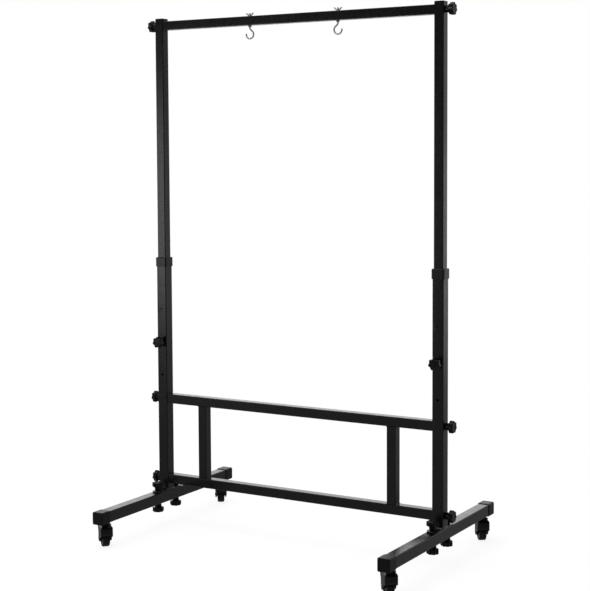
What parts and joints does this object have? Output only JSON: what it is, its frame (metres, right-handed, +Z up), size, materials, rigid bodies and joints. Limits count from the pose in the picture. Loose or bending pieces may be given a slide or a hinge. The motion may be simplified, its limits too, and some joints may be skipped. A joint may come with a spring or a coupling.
{
  "type": "gong stand",
  "caption": "Height-adjustable gong stand of black square steel tube: two telescoping uprights on long feet with casters, a low brace frame and a crossbar with hooks.",
  "frame": {"origin": "on the floor, midway between the two uprights", "axes": "+Z up, +X along the crossbar to the right as seen from the front, +Y from the front feet to the rear feet"},
  "size_m": [1.1486, 0.7787, 1.7633],
  "materials": {
    "painted_steel": "satin black powder coat",
    "black_plastic": "moulded black plastic",
    "knob_plastic": "satin moulded black plastic",
    "caster_plastic": "moulded black nylon",
    "caster_rubber": "matte black tread",
    "zinc_steel": "bright zinc plate",
    "black_zinc": "black zinc plate"
  },
  "bodies": {
    "base": {"left_foot_tube": "painted_steel", "left_front_foot_cap": "black_plastic", "left_rear_foot_cap": "black_plastic", "left_base_plate": "painted_steel", "left_lower_tube": "painted_steel", "left_collar": "black_plastic", "right_foot_tube": "painted_steel", "right_front_foot_cap": "black_plastic", "right_rear_foot_cap": "black_plastic", "right_base_plate": "painted_steel", "right_lower_tube": "painted_steel", "right_collar": "black_plastic", "brace_lower_rail": "painted_steel", "brace_upper_rail": "painted_steel", "brace_left_stile": "painted_steel", "brace_right_stile": "painted_steel", "left_front_caster_mount": "black_zinc", "left_rear_caster_mount": "black_zinc", "right_front_caster_mount": "black_zinc", "right_rear_caster_mount": "black_zinc"},
    "upper_frame": {"left_upper_tube": "painted_steel", "left_top_cap": "black_plastic", "right_upper_tube": "painted_steel", "right_top_cap": "black_plastic", "crossbar": "painted_steel"},
    "left_lower_rail_knob": {"left_lower_rail_knob": "knob_plastic"},
    "left_upper_rail_knob": {"left_upper_rail_knob": "knob_plastic"},
    "left_height_knob": {"left_height_knob": "knob_plastic"},
    "left_crossbar_knob": {"left_crossbar_knob": "knob_plastic"},
    "left_front_base_knob": {"left_front_base_knob": "knob_plastic"},
    "left_front_base_nut_knob": {"left_front_base_nut_knob": "knob_plastic"},
    "left_rear_base_knob": {"left_rear_base_knob": "knob_plastic"},
    "left_rear_base_nut_knob": {"left_rear_base_nut_knob": "knob_plastic"},
    "left_front_caster_swivel": {"left_front_caster_fork": "caster_plastic", "left_front_caster_axle": "zinc_steel"},
    "left_front_caster_wheel": {"left_front_caster_wheel": "caster_rubber"},
    "left_rear_caster_swivel": {"left_rear_caster_fork": "caster_plastic", "left_rear_caster_axle": "zinc_steel"},
    "left_rear_caster_wheel": {"left_rear_caster_wheel": "caster_rubber"},
    "left_hook_bolt": {"left_hook": "zinc_steel", "left_hook_nut": "zinc_steel"},
    "left_wing_nut": {"left_wing_nut": "zinc_steel"},
    "right_lower_rail_knob": {"right_lower_rail_knob": "knob_plastic"},
    "right_upper_rail_knob": {"right_upper_rail_knob": "knob_plastic"},
    "right_height_knob": {"right_height_knob": "knob_plastic"},
    "right_crossbar_knob": {"right_crossbar_knob": "knob_plastic"},
    "right_front_base_knob": {"right_front_base_knob": "knob_plastic"},
    "right_front_base_nut_knob": {"right_front_base_nut_knob": "knob_plastic"},
    "right_rear_base_knob": {"right_rear_base_knob": "knob_plastic"},
    "right_rear_base_nut_knob": {"right_rear_base_nut_knob": "knob_plastic"},
    "right_front_caster_swivel": {"right_front_caster_fork": "caster_plastic", "right_front_caster_axle": "zinc_steel"},
    "right_front_caster_wheel": {"right_front_caster_wheel": "caster_rubber"},
    "right_rear_caster_swivel": {"right_rear_caster_fork": "caster_plastic", "right_rear_caster_axle": "zinc_steel"},
    "right_rear_caster_wheel": {"right_rear_caster_wheel": "caster_rubber"},
    "right_hook_bolt": {"right_hook": "zinc_steel", "right_hook_nut": "zinc_steel"},
    "right_wing_nut": {"right_wing_nut": "zinc_steel"}
  },
  "joints": [
    {"name": "height_slide", "type": "slide", "parent": "base", "child": "upper_frame", "axis": [0, 0, 1], "range_m": [-0.115, 0.115]},
    {"name": "left_lower_rail_knob_turn", "type": "hinge", "parent": "base", "child": "left_lower_rail_knob", "pos_m": [-0.525, 0, 0.168], "axis": [-1, 0, 0], "continuous": true},
    {"name": "left_upper_rail_knob_turn", "type": "hinge", "parent": "base", "child": "left_upper_rail_knob", "pos_m": [-0.525, 0, 0.45], "axis": [-1, 0, 0], "continuous": true},
    {"name": "left_height_knob_turn", "type": "hinge", "parent": "base", "child": "left_height_knob", "pos_m": [-0.525, 0, 0.6485], "axis": [0, -1, 0], "continuous": true},
    {"name": "left_crossbar_knob_turn", "type": "hinge", "parent": "upper_frame", "child": "left_crossbar_knob", "pos_m": [-0.525, 0, 1.7355], "axis": [-1, 0, 0], "continuous": true},
    {"name": "left_front_base_knob_turn", "type": "hinge", "parent": "base", "child": "left_front_base_knob", "pos_m": [-0.525, -0.052, 0.1306], "axis": [0, 0, 1], "continuous": true},
    {"name": "left_front_base_nut_knob_turn", "type": "hinge", "parent": "base", "child": "left_front_base_nut_knob", "pos_m": [-0.525, -0.052, 0.0877], "axis": [0, 0, -1], "continuous": true},
    {"name": "left_rear_base_knob_turn", "type": "hinge", "parent": "base", "child": "left_rear_base_knob", "pos_m": [-0.525, 0.052, 0.1306], "axis": [0, 0, 1], "continuous": true},
    {"name": "left_rear_base_nut_knob_turn", "type": "hinge", "parent": "base", "child": "left_rear_base_nut_knob", "pos_m": [-0.525, 0.052, 0.0877], "axis": [0, 0, -1], "continuous": true},
    {"name": "left_front_caster_turn", "type": "hinge", "parent": "base", "child": "left_front_caster_swivel", "pos_m": [-0.525, -0.342, 0.075], "axis": [0, 0, 1], "continuous": true},
    {"name": "left_front_wheel_spin", "type": "hinge", "parent": "left_front_caster_swivel", "child": "left_front_caster_wheel", "pos_m": [-0.5416, -0.32757, 0.03], "axis": [-0.6561, -0.7547, 0], "continuous": true},
    {"name": "left_rear_caster_turn", "type": "hinge", "parent": "base", "child": "left_rear_caster_swivel", "pos_m": [-0.525, 0.342, 0.075], "axis": [0, 0, 1], "continuous": true},
    {"name": "left_rear_wheel_spin", "type": "hinge", "parent": "left_rear_caster_swivel", "child": "left_rear_caster_wheel", "pos_m": [-0.53824, 0.35957, 0.03], "axis": [-0.7986, -0.6018, 0], "continuous": true},
    {"name": "left_hook_turn", "type": "hinge", "parent": "upper_frame", "child": "left_hook_bolt", "pos_m": [-0.166, 0, 1.7505], "axis": [0, 0, 1], "continuous": true},
    {"name": "left_wing_nut_turn", "type": "hinge", "parent": "left_hook_bolt", "child": "left_wing_nut", "pos_m": [-0.166, 0, 1.7508], "axis": [0, 0, 1], "continuous": true},
    {"name": "right_lower_rail_knob_turn", "type": "hinge", "parent": "base", "child": "right_lower_rail_knob", "pos_m": [0.525, 0, 0.168], "axis": [1, 0, 0], "continuous": true},
    {"name": "right_upper_rail_knob_turn", "type": "hinge", "parent": "base", "child": "right_upper_rail_knob", "pos_m": [0.525, 0, 0.45], "axis": [1, 0, 0], "continuous": true},
    {"name": "right_height_knob_turn", "type": "hinge", "parent": "base", "child": "right_height_knob", "pos_m": [0.525, 0, 0.6485], "axis": [0, -1, 0], "continuous": true},
    {"name": "right_crossbar_knob_turn", "type": "hinge", "parent": "upper_frame", "child": "right_crossbar_knob", "pos_m": [0.525, 0, 1.7355], "axis": [1, 0, 0], "continuous": true},
    {"name": "right_front_base_knob_turn", "type": "hinge", "parent": "base", "child": "right_front_base_knob", "pos_m": [0.525, -0.052, 0.1306], "axis": [0, 0, 1], "continuous": true},
    {"name": "right_front_base_nut_knob_turn", "type": "hinge", "parent": "base", "child": "right_front_base_nut_knob", "pos_m": [0.525, -0.052, 0.0877], "axis": [0, 0, -1], "continuous": true},
    {"name": "right_rear_base_knob_turn", "type": "hinge", "parent": "base", "child": "right_rear_base_knob", "pos_m": [0.525, 0.052, 0.1306], "axis": [0, 0, 1], "continuous": true},
    {"name": "right_rear_base_nut_knob_turn", "type": "hinge", "parent": "base", "child": "right_rear_base_nut_knob", "pos_m": [0.525, 0.052, 0.0877], "axis": [0, 0, -1], "continuous": true},
    {"name": "right_front_caster_turn", "type": "hinge", "parent": "base", "child": "right_front_caster_swivel", "pos_m": [0.525, -0.342, 0.075], "axis": [0, 0, 1], "continuous": true},
    {"name": "right_front_wheel_spin", "type": "hinge", "parent": "right_front_caster_swivel", "child": "right_front_caster_wheel", "pos_m": [0.51028, -0.32565, 0.03], "axis": [-0.7431, -0.6691, 0], "continuous": true},
    {"name": "right_rear_caster_turn", "type": "hinge", "parent": "base", "child": "right_rear_caster_swivel", "pos_m": [0.525, 0.342, 0.075], "axis": [0, 0, 1], "continuous": true},
    {"name": "right_rear_wheel_spin", "type": "hinge", "parent": "right_rear_caster_swivel", "child": "right_rear_caster_wheel", "pos_m": [0.51238, 0.36002, 0.03], "axis": [-0.8192, -0.5736, 0], "continuous": true},
    {"name": "right_hook_turn", "type": "hinge", "parent": "upper_frame", "child": "right_hook_bolt", "pos_m": [0.166, 0, 1.7505], "axis": [0, 0, 1], "continuous": true},
    {"name": "right_wing_nut_turn", "type": "hinge", "parent": "right_hook_bolt", "child": "right_wing_nut", "pos_m": [0.166, 0, 1.7508], "axis": [0, 0, 1], "continuous": true}
  ]
}
